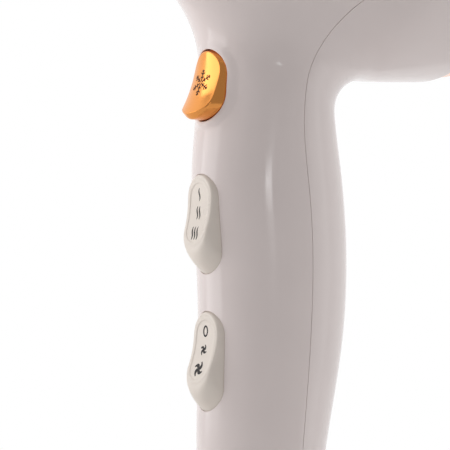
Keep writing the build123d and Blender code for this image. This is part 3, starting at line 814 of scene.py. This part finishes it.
def cool_button(name):
    """The plated button: an oval bar whose top is the crowned face, with a fine rounded edge and flared sides."""
    half_length, half_width = COOL_FACE_HALF
    ups = half_length * np.sin(np.linspace(-pi / 2, pi / 2, COOL_ROWS))
    shares = np.sin(np.linspace(-pi / 2, pi / 2, COOL_COLUMNS))
    run = half_length - half_width
    widths = np.sqrt(np.maximum(half_width ** 2 - np.maximum(np.abs(ups) - run, 0) ** 2, 0))
    y = widths[:, None] * shares[None]
    up = np.repeat(ups[:, None], len(shares), 1)
    inset = np.clip(-stadium(up, y, half_length, half_width), 0, COOL_EDGE)
    drop = COOL_EDGE - np.sqrt(np.maximum(COOL_EDGE ** 2 - (COOL_EDGE - inset) ** 2, 0))
    long, wide = COOL_HALF[0] / half_length, COOL_HALF[1] / half_width
    top = from_handle((cool_face(y, up) - drop).ravel(), y.ravel(), COOL_S - up.ravel())
    root = from_handle(np.full(y.size, COOL_FLANGE_T[1]), y.ravel() * wide, COOL_S - up.ravel() * long)
    foot_y, foot_s = y[:, [0, -1]].T.ravel() * wide, COOL_S - up[:, [0, -1]].T.ravel() * long
    foot = from_handle(body_front(foot_y, foot_s) + COOL_FOOT_PROUD, foot_y, foot_s)
    grid = np.arange(y.size).reshape(y.shape)
    faces = np.stack([grid[:-1, :-1], grid[:-1, 1:], grid[1:, 1:], grid[1:, :-1]], -1).reshape(-1, 4)
    faces = faces.tolist() + (faces[:, ::-1] + y.size).tolist()
    for side, column in enumerate((0, COOL_COLUMNS - 1)):
        high = grid[:, column]
        middle = 2 * y.size + side * COOL_ROWS + np.arange(COOL_ROWS)
        for a, b in ((high, middle), (middle, high + y.size)):
            faces += np.stack([a[:-1], a[1:], b[1:], b[:-1]], 1).tolist()
    return sharpened(mesh_object(name, np.concatenate([top, root, foot]), faces), 50)


def on_cool(across, up, height):
    """Places (across, up, height) on the button's face."""
    return from_handle(cool_face(np.array(across), np.array(up)) + height, across, COOL_S - up)


def cool_flange(name):
    """The flange that keeps the button behind the wall."""
    loop = slot_loop(*(half + COOL_FLANGE_LAP for half in COOL_HALF))
    rings = [from_handle(np.full(len(loop), t), loop[:, 0], COOL_S - loop[:, 1]) for t in COOL_FLANGE_T]
    return rings_mesh(name, rings, angle=40)


# ---- return spring ----
SPRING_S = 43.6
SPRING_T = (5.3, 12.3)
SPRING_COIL_R = 1.8
SPRING_WIRE_R = 0.25
SPRING_PITCH = 1.7
SPRING_TURNS = (SPRING_T[1] - SPRING_T[0]) / SPRING_PITCH
SPRING_STEPS = 150
SPRING_SIDES = 10


def spring_coil(name):
    """The button's return spring, wound from its seat to the flange."""
    rings = []
    around = np.arange(SPRING_SIDES) * 2 * pi / SPRING_SIDES
    for k in range(SPRING_STEPS + 1):
        share = k / SPRING_STEPS
        turn = 2 * pi * SPRING_TURNS * share
        reach = SPRING_COIL_R + SPRING_WIRE_R * np.cos(around)
        t = SPRING_T[0] + (SPRING_T[1] - SPRING_T[0]) * share + SPRING_WIRE_R * np.sin(around)
        rings.append(from_handle(t, reach * cos(turn), SPRING_S + reach * sin(turn)))
    return rings_mesh(name, rings)


# ---- rings, collar, inlet and wells ----
# outlines of turned pieces: (x, radius), for the inlet (distance down, radius)
COLLAR_OUTLINE = [(-20, 21.4), (-20, 22.7), (-11.86, 22.7), (-11.86, 24), (0, 24), (0, 22.2), (-0.8, 21.4)]
COLLAR_ROUND = 0.45
RING_LIP = natural_curve([-187.0, -186.1, -182.3, -177.1], [35.95, 36.5, 37.8, 39.75])
RING_X = -187.0
RING_LENGTH = 9.9
RING_STEPS = 18
RING_INSIDE = [(-177.1, 37.4), (-173.0, 37.4), (-173.0, 36.1), (-186.75, 35.5), (-187.0, 35.75)]
BUSH_OUTLINE = [(178, 4.2), (178, 9.6), (180.4, 9.6), (180.4, 8.0), (190, 8.0), (190, 4.2)]
BUSH_ROUND = 0.8
BEAD_OUTLINE = [(187.1, 7.6), (187.1, 8.25), (188.4, 8.25), (188.4, 7.6)]
BEAD_ROUND = 0.3
WELL_MOUTH = 1.3
WELL_BASE_T = -11
WELL_FOOT_T = -6
WELL_R = 4.4
WELL_BORE_R = 1.6
WELL_ROUND = 0.25


def nozzle_collar(name):
    """The white collar at the outlet."""
    return lathe(name, rounded(COLLAR_OUTLINE, COLLAR_ROUND))


def copper_ring(name):
    """The plated trim ring, its lip closing in towards the intake."""
    stations = RING_X + RING_LENGTH * np.linspace(0, 1, RING_STEPS) ** 1.6
    outer = [(x, RING_LIP(x)[0]) for x in stations]
    return lathe(name, outer + RING_INSIDE, segments=240)


def inlet_bush(name):
    """The cord inlet's flanged bush, and the bead round it."""
    outline = rounded(BUSH_OUTLINE, BUSH_ROUND)
    bead = rounded(BEAD_OUTLINE, BEAD_ROUND)

    def place(p):
        return from_handle(INLET[0] + p[:, 1], p[:, 2], p[:, 0])
    return [lathe(name, outline, 96, place=place), lathe(name + "_bead", bead, 96, place=place)]


def screw_well(name, s_centre):
    """The cover's moulded post, with a pocket for the screw's head."""
    mouth = -rear_curve(s_centre)[0] + WELL_MOUTH
    outline = [(mouth, SCREW_POCKET_R), (WELL_BASE_T, SCREW_POCKET_R), (WELL_BASE_T, WELL_BORE_R),
               (WELL_FOOT_T, WELL_BORE_R), (WELL_FOOT_T, WELL_R), (mouth, WELL_R)]

    def place(p):
        return from_handle(p[:, 0], p[:, 1], s_centre + p[:, 2])
    return lathe(name, rounded(outline, WELL_ROUND), 64, place=place)


# ---- intake guard ----
DOME_RIM = (-187.3, 36.2)
DOME_DEPTH = 9.7
DOME_POWERS = (1.613, 2.6)
DOME_SCALE = 6.0
DOME_BOX = ((-198.5, -38.0, -38.0), (-186.0, 38.0, 38.0))
DOME_CELL = 0.5
DOME_SNAP = 0.15
DOME_WALL = 1.5
SKIRT_OUTLINE = [(-187.35, 33.6), (-187.35, 35.2), (-181, 35.2), (-181, 33.4), (-186.6, 33.4)]
SKIRT_ROUND = 0.35
# (middle radius, length, count) of each row of slots
SLOT_ROWS = [(29.0, 7.0, 30), (21.0, 6.6, 22), (13.0, 6.6, 14), (5.4, 5.0, 6)]
SLOT_HALF = 1.1


def dome_field(p):
    """Below zero inside the domed guard."""
    deep = np.abs(DOME_RIM[0] - p[:, 0]) / DOME_DEPTH
    wide = np.hypot(p[:, 1], p[:, 2]) / DOME_RIM[1]
    return (deep ** DOME_POWERS[0] + wide ** DOME_POWERS[1] - 1) * DOME_SCALE


def dome_rim_gate(p):
    """Positive behind the dome's rim."""
    return DOME_RIM[0] - EDGE_R - p[:, 0]


def slots_gate(p):
    """Positive outside every slot of the guard's rows."""
    radius = np.hypot(p[:, 1], p[:, 2])
    turn = np.arctan2(p[:, 1], p[:, 2])
    best = np.full(len(p), FAR)
    for middle, length, count in SLOT_ROWS:
        share = 2 * pi / count
        off = (turn + share / 2) % share - share / 2
        reach = stadium(radius * np.cos(off) - middle, radius * np.sin(off), length / 2, SLOT_HALF)
        best = np.minimum(best, reach - EDGE_R)
    return best


def guard_dome(name):
    """The slotted dome."""
    gates = [dome_rim_gate, slots_gate]
    part = (*net(dome_field, *DOME_BOX, DOME_CELL), NO_TRIS)
    for gate in gates:
        part = clip(*part, dome_field, gate, DOME_SNAP)
    return shell_mesh(name, *part, dome_field, gates, wall=DOME_WALL)


def guard_skirt(name):
    """The skirt that plugs into the copper ring."""
    return lathe(name, rounded(SKIRT_OUTLINE, SKIRT_ROUND))


# ---- lint screen ----
SCREEN_X = -183.7
SCREEN_R = 32.6
WIRE_PITCH = 1.4
WIRE_R = 0.15
SCREEN_FRAME = [(-184, 32.1), (-184, 33), (-183.4, 33), (-183.4, 32.1)]
SCREEN_FRAME_ROUND = 0.2


def wires(name, paths, radius, sides=6):
    """Round wires along the paths."""
    points, faces = [], []
    turns = np.arange(sides) * 2 * pi / sides
    for path in paths:
        lead = unit(np.gradient(path, axis=0))
        side = unit(np.cross(lead, [1.0, 0, 0]))
        other = np.cross(side, lead)
        base = len(points)
        for centre, a, b in zip(path, side, other):
            points += [centre + radius * (a * cos(w) + b * sin(w)) for w in turns]
        for i in range(len(path) - 1):
            for k in range(sides):
                low, high = base + i * sides + k, base + i * sides + (k + 1) % sides
                faces.append([low, high, high + sides, low + sides])
        faces.append([base + k for k in range(sides)][::-1])
        faces.append([base + (len(path) - 1) * sides + k for k in range(sides)])
    return sharpened(mesh_object(name, points, faces), 60)


def lint_screen(name):
    """Plain-woven wires, over and under, across a round frame."""
    paths = []
    rows = int(SCREEN_R / WIRE_PITCH)
    for row in range(-rows, rows + 1):
        across = row * WIRE_PITCH
        reach = sqrt(max(SCREEN_R ** 2 - across ** 2, 0.01))
        along = np.linspace(-reach, reach, max(int(reach / WIRE_PITCH * 8), 5))
        swing = WIRE_R * np.cos(pi * (along / WIRE_PITCH + row))
        level = np.full(len(along), across)
        paths.append(np.stack([SCREEN_X + swing, along, level], 1))
        paths.append(np.stack([SCREEN_X - swing, level, along], 1))
    frame_ring = rounded(SCREEN_FRAME, SCREEN_FRAME_ROUND)
    return [wires(name, paths, WIRE_R), lathe(name + "_frame", frame_ring)]


# ---- finishes ----
RELIEF_DEPTH = 0.0002
TONE_BAND = (0.3, 0.7)
SCUFF_BAND = (0.56, 0.75)


def finish(name, colour, rough, metal=0.0, grain=700.0, bump=0.05, tone=0.05, stretch=(1, 1, 1), scuff=0.0,
           specular=0.5):
    """A surface whose colour, gloss and fine relief vary as a moulded, drawn or plated one does."""
    material = bpy.data.materials.new(name)
    material.use_nodes = True
    nodes, links = material.node_tree.nodes, material.node_tree.links
    shader = nodes["Principled BSDF"]
    shader.inputs["Metallic"].default_value = metal
    shader.inputs["Specular IOR Level"].default_value = specular
    where = nodes.new("ShaderNodeTexCoord")
    mapping = nodes.new("ShaderNodeMapping")
    mapping.inputs["Scale"].default_value = stretch
    links.new(where.outputs["Object"], mapping.inputs["Vector"])

    def noise(scale, detail):
        node = nodes.new("ShaderNodeTexNoise")
        node.inputs["Scale"].default_value = scale
        node.inputs["Detail"].default_value = detail
        links.new(mapping.outputs["Vector"], node.inputs["Vector"])
        return node.outputs["Fac"]

    def ranged(value, low, high, band):
        node = nodes.new("ShaderNodeMapRange")
        for key, number in (("From Min", band[0]), ("From Max", band[1]), ("To Min", low), ("To Max", high)):
            node.inputs[key].default_value = number
        links.new(value, node.inputs["Value"])
        return node.outputs["Result"]

    broad, fine = noise(grain / 9, 3.0), noise(grain, 4.0)
    ramp = nodes.new("ShaderNodeValToRGB")
    shades = ([c * (1 - tone) for c in colour], [min(c * (1 + tone / 2), 1) for c in colour])
    for stop, position, shade in zip(ramp.color_ramp.elements, TONE_BAND, shades):
        stop.position = position
        stop.color = (*shade, 1)
    links.new(broad, ramp.inputs["Fac"])
    links.new(ramp.outputs["Color"], shader.inputs["Base Color"])
    gloss = ranged(broad, *rough, TONE_BAND)
    if scuff:
        marks = ranged(noise(grain / 2.5, 8.0), 0.0, scuff, SCUFF_BAND)
        added = nodes.new("ShaderNodeMath")
        added.operation = "ADD"
        links.new(gloss, added.inputs[0])
        links.new(marks, added.inputs[1])
        gloss = added.outputs["Value"]
    links.new(gloss, shader.inputs["Roughness"])
    relief = nodes.new("ShaderNodeBump")
    relief.inputs["Strength"].default_value = bump
    relief.inputs["Distance"].default_value = RELIEF_DEPTH
    links.new(fine, relief.inputs["Height"])
    links.new(relief.outputs["Normal"], shader.inputs["Normal"])
    return material


FINISHES = {
    "shell_white": dict(colour=(0.84, 0.745, 0.725), rough=(0.09, 0.15), grain=380, bump=0.035, tone=0.02,
        scuff=0.06),
    "ivory_cap": dict(colour=(0.85, 0.765, 0.69), rough=(0.27, 0.36), grain=900, bump=0.08, tone=0.03,
        scuff=0.06),
    "copper_plate": dict(colour=(0.92, 0.37, 0.095), rough=(0.12, 0.2), metal=1.0, grain=500, bump=0.03,
        tone=0.05, scuff=0.08),
    "grille_grey": dict(colour=(0.16, 0.16, 0.17), rough=(0.42, 0.55), grain=1400, bump=0.25, tone=0.12,
        scuff=0.1),
    "heat_black": dict(colour=(0.035, 0.035, 0.038), rough=(0.4, 0.55), grain=1200, bump=0.3, tone=0.2,
        scuff=0.15),
    "inner_plastic": dict(colour=(0.55, 0.54, 0.52), rough=(0.4, 0.52), grain=1000, bump=0.2, tone=0.06),
    "switch_black": dict(colour=(0.035, 0.034, 0.033), rough=(0.35, 0.5), grain=1200, bump=0.15, tone=0.15),
    "steel": dict(colour=(0.56, 0.57, 0.58), rough=(0.22, 0.34), metal=1.0, grain=600, bump=0.15, tone=0.08,
        stretch=(0.1, 1, 1), scuff=0.1),
    "zinc_steel": dict(colour=(0.62, 0.63, 0.65), rough=(0.3, 0.48), metal=1.0, grain=500, bump=0.12,
        tone=0.12, scuff=0.12),
    "brass_pins": dict(colour=(0.78, 0.62, 0.30), rough=(0.2, 0.34), metal=1.0, grain=800, bump=0.1,
        tone=0.1),
    "bronze_bush": dict(colour=(0.62, 0.45, 0.24), rough=(0.4, 0.55), metal=1.0, grain=2400, bump=0.4,
        tone=0.15),
    "magnet": dict(colour=(0.10, 0.10, 0.11), rough=(0.5, 0.65), grain=1800, bump=0.3, tone=0.15),
    "winding": dict(colour=(0.50, 0.21, 0.09), rough=(0.22, 0.38), metal=0.8, grain=1600, bump=0.5,
        tone=0.3, stretch=(0.15, 1, 1)),
    "carbon": dict(colour=(0.04, 0.04, 0.045), rough=(0.45, 0.6), grain=2000, bump=0.3, tone=0.2),
    "damper": dict(colour=(0.03, 0.03, 0.03), rough=(0.6, 0.75), grain=1500, bump=0.3, tone=0.15),
    "mica": dict(colour=(0.66, 0.58, 0.42), rough=(0.3, 0.5), grain=500, bump=0.3, tone=0.25,
        stretch=(1, 1, 0.3)),
    "nichrome": dict(colour=(0.38, 0.36, 0.34), rough=(0.3, 0.45), metal=1.0, grain=1500, bump=0.15,
        tone=0.15),
    "board_green": dict(colour=(0.07, 0.22, 0.12), rough=(0.3, 0.42), grain=1300, bump=0.2, tone=0.15),
    "mesh_steel": dict(colour=(0.36, 0.36, 0.37), rough=(0.25, 0.4), metal=1.0, grain=1800, bump=0.1,
        tone=0.12),
    "icon_ink": dict(colour=(0.045, 0.04, 0.04), rough=(0.45, 0.6), grain=2500, bump=0.1, tone=0.15,
        specular=0.2),
    "flake_ink": dict(colour=(0.07, 0.018, 0.006), rough=(0.45, 0.6), grain=2500, bump=0.1, tone=0.2,
        specular=0.15),
    "studio_floor": dict(colour=(0.84, 0.84, 0.84), rough=(0.55, 0.7), grain=90, bump=0.05, tone=0.02),
}
MATERIALS = {name: finish(name, **values) for name, values in FINISHES.items()}


def dress(pieces, body, slot, nodes=(), ink=None):
    """Gives pieces their finish and their body, and hides the CAD nodes they stand for."""
    for piece in pieces:
        piece.data.materials.clear()
        piece.data.materials.append(MATERIALS[ink or slot])
        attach(piece, body)
        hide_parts(*nodes)


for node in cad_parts.values():
    slot_name = node.data.materials[0].name.split(".")[0]
    node.data.materials.clear()
    node.data.materials.append(MATERIALS[slot_name])

main_piece, cover_piece = build_shells()
dress([main_piece], "dryer_body", "shell_white", ["main_shell"])
wells = [screw_well(f"screw_well_{i}", s) for i, s in enumerate(SCREW_S)]
dress([cover_piece] + wells, "dryer_body", "shell_white", ["handle_back_cover"])
dress([nozzle_collar("nozzle_collar")], "dryer_body", "shell_white", ["outlet_collar"])
dress([copper_ring("copper_ring")], "dryer_body", "copper_plate", ["rear_trim_ring"])
dress(inlet_bush("inlet_bush"), "dryer_body", "shell_white", ["cord_inlet_collar"])
guard = [guard_dome("guard_dome"), guard_skirt("guard_skirt")]
dress(guard, "intake_guard", "grille_grey", ["rear_grille"])
dress(lint_screen("lint_screen"), "intake_guard", "mesh_steel", ["intake_mesh"])
button = [cool_button("cool_button"), cool_flange("cool_flange")]
dress(button, "cool_shot", "copper_plate", ["cool_shot_button"])
dress([inlay("snowflake", snowflake(0.7), on_cool)], "cool_shot", "copper_plate", ink="flake_ink")
spring = spring_coil("return_spring")
spring_seat = from_handle(SPRING_T[0] - SPRING_WIRE_R, 0.0, SPRING_S) * MM
dress([spring], "dryer_body", "steel", ["cool_shot_spring"])
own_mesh(spring)
for body, s_centre in (("heat_rocker", HEAT_S), ("speed_rocker", SPEED_S)):
    dress([rocker_cap(body + "_piece", s_centre)], body, "ivory_cap", [body + "_cap"])
waves = [wave(x, up) for up, row in ((7.85, (0,)), (3.0, (-0.55, 0.55)), (-2.4, (-1.1, 0, 1.1))) for x in row]
dress([inlay("heat_symbols", waves, on_rocker(HEAT_S))], "heat_rocker", "ivory_cap", ink="icon_ink")
fans = [zero(8.0)] + fan_blades(3.05, 1.4) + fan_blades(-2.0, 1.95)
dress([inlay("speed_symbols", fans, on_rocker(SPEED_S))], "speed_rocker", "ivory_cap", ink="icon_ink")


# ---- camera, light and floor ----
VIEW_TURN = radians(35.0)
VIEW_S = 87.75
VIEW_BACK = 800.0
VIEW_LEFT = 11.6
VIEW_WIDTH = 121.5
SENSOR = 36.0
FORWARD = Vector((cos(LEAN), 0, -sin(LEAN)))
UPWARD = Vector((sin(LEAN), 0, cos(LEAN)))
ACROSS = Vector((0, 1, 0))
TOWARD = FORWARD * sin(VIEW_TURN) + ACROSS * cos(VIEW_TURN)
RIGHT = ACROSS * sin(VIEW_TURN) - FORWARD * cos(VIEW_TURN)
CENTRE = Vector(from_handle(0.0, 0.0, VIEW_S)) * MM


def facing(thing, place, toward, up):
    """Puts a camera or light at a place, looking along -toward."""
    back = toward.normalized()
    right = up.cross(back).normalized()
    turn = Matrix((right, back.cross(right), back)).transposed()
    thing.matrix_world = Matrix.Translation(place) @ turn.to_4x4()


lens = bpy.data.cameras.new("photo_camera")
lens.sensor_width = SENSOR
lens.lens = SENSOR * VIEW_BACK / VIEW_WIDTH
lens.clip_start, lens.clip_end = 0.01, 10.0
camera = bpy.data.objects.new("photo_camera", lens)
bpy.context.scene.collection.objects.link(camera)
facing(camera, CENTRE + (TOWARD * VIEW_BACK - RIGHT * VIEW_LEFT) * MM, TOWARD, UPWARD)
bpy.context.scene.camera = camera

# each lamp's name; right, up and toward the camera from the handle's middle (m); size (m); power (W)
LIGHTS = [
    ("left_softbox", -0.62, 0.02, 0.06, (0.5, 0.9), 2.2),
    ("right_softbox", 0.66, 0.12, 0.0, (0.3, 0.9), 0.5),
    ("top_softbox", 0.0, 0.75, 0.1, (0.6, 0.6), 0.9),
    ("glint", 0.34, -0.007, 0.725, (0.11, 0.03), 0.085),
]
OVERHEAD = 0.5
for name, right, up, toward, size, power in LIGHTS:
    lamp = bpy.data.lights.new(name, "AREA")
    lamp.shape = "RECTANGLE"
    lamp.size, lamp.size_y = size
    lamp.energy = power
    light = bpy.data.objects.new(name, lamp)
    bpy.context.scene.collection.objects.link(light)
    offset = RIGHT * right + UPWARD * up + TOWARD * toward
    facing(light, CENTRE + offset, offset, TOWARD if abs(up) > OVERHEAD else UPWARD)

# the room in front of the dryer is dimmer than the white backdrop behind it
ROOM_LIGHT = 0.36
BACKDROP_LIGHT = 1.0
BACKDROP_EDGE = (-0.25, 0.35)
world = bpy.data.worlds.new("studio")
bpy.context.scene.world = world
world.use_nodes = True
sky, links = world.node_tree.nodes, world.node_tree.links
background = sky["Background"]
where, along = sky.new("ShaderNodeTexCoord"), sky.new("ShaderNodeVectorMath")
along.operation = "DOT_PRODUCT"
along.inputs[1].default_value = -TOWARD
links.new(where.outputs["Generated"], along.inputs[0])
level = sky.new("ShaderNodeMapRange")
level.interpolation_type = "SMOOTHSTEP"
level.inputs["From Min"].default_value, level.inputs["From Max"].default_value = BACKDROP_EDGE
level.inputs["To Min"].default_value = ROOM_LIGHT
level.inputs["To Max"].default_value = BACKDROP_LIGHT
links.new(along.outputs["Value"], level.inputs["Value"])
rays, seen = sky.new("ShaderNodeLightPath"), sky.new("ShaderNodeMath")
seen.operation = "MAXIMUM"
links.new(rays.outputs["Is Camera Ray"], seen.inputs[0])
links.new(level.outputs["Result"], seen.inputs[1])
links.new(seen.outputs["Value"], background.inputs["Strength"])
background.inputs["Color"].default_value = (1, 1, 1, 1)
bpy.context.scene.view_settings.view_transform = "Standard"

FLOOR_R = 300.0
FLOOR_DROP = 0.2
FLOOR_THICK = 4
FLOOR_BEVEL = 1
FLOOR_SIDES = 96
floor_z = CAD_BOUNDS[0][2] / MM - FLOOR_DROP
turns = np.arange(FLOOR_SIDES) * 2 * pi / FLOOR_SIDES
profile = ((FLOOR_R, floor_z - FLOOR_THICK), (FLOOR_R, floor_z - FLOOR_BEVEL),
           (FLOOR_R - FLOOR_BEVEL, floor_z))
edge = [np.stack([HANDLE_X + r * np.cos(turns), r * np.sin(turns), np.full(FLOOR_SIDES, z)], 1)
        for r, z in profile]
floor = rings_mesh("floor", edge)
floor.data.materials.append(MATERIALS["studio_floor"])
